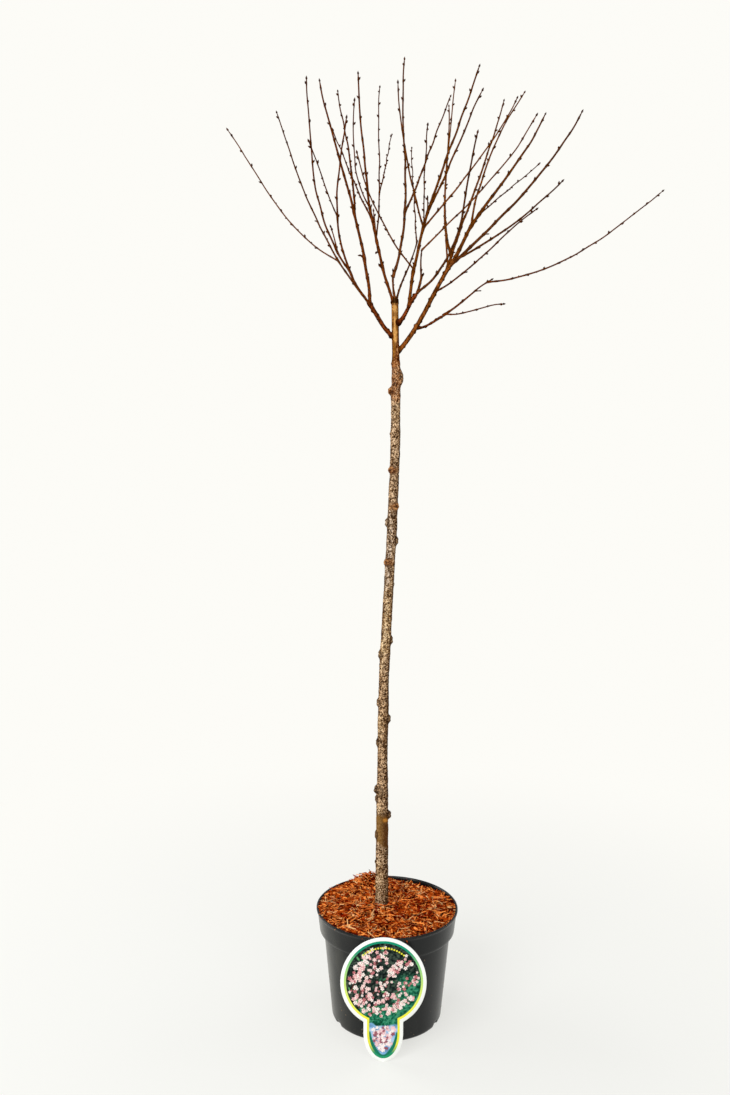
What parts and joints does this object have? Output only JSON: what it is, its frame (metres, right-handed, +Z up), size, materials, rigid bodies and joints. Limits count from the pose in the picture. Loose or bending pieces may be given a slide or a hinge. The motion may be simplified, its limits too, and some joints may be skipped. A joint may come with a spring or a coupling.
{
  "type": "potted flowering almond standard",
  "caption": "Small bare flowering almond grown as a slim standard in a round plastic pot, with forked boughs, a loose crown of thin shoots and a picture label.",
  "frame": {"origin": "middle of the pot's flat underside, on the ground", "axes": "+Z up along the trunk, +Y away from the picture label's side, +X to the right as seen from the label's side"},
  "size_m": [0.6304, 0.4204, 1.4051],
  "materials": {
    "pot_plastic": "satin black plastic",
    "mulch": "shredded red-brown bark",
    "label_card": "smooth printed plastic card",
    "trunk_bark": "rough grey-brown bark",
    "young_bark": "smooth ochre-brown bark",
    "shoot_bark": "smooth red-brown bark with small buds"
  },
  "bodies": {
    "root": {"pot": "pot_plastic", "bark_mulch": "mulch", "plant_label": "label_card", "trunk": "trunk_bark", "leader": "young_bark", "left_bough": "young_bark", "middle_bough": "young_bark", "right_bough": "young_bark", "low_right_bough": "young_bark", "left_inner_shoots": "shoot_bark", "left_outer_shoots": "shoot_bark", "left_front_shoots": "shoot_bark", "top_left_shoots": "shoot_bark", "top_upright_shoots": "shoot_bark", "top_back_shoots": "shoot_bark", "middle_inner_shoots": "shoot_bark", "middle_outer_shoots": "shoot_bark", "right_inner_shoots": "shoot_bark", "right_outer_shoots": "shoot_bark", "right_front_shoots": "shoot_bark", "right_low_shoots": "shoot_bark", "low_right_shoots": "shoot_bark"}
  },
  "joints": []
}
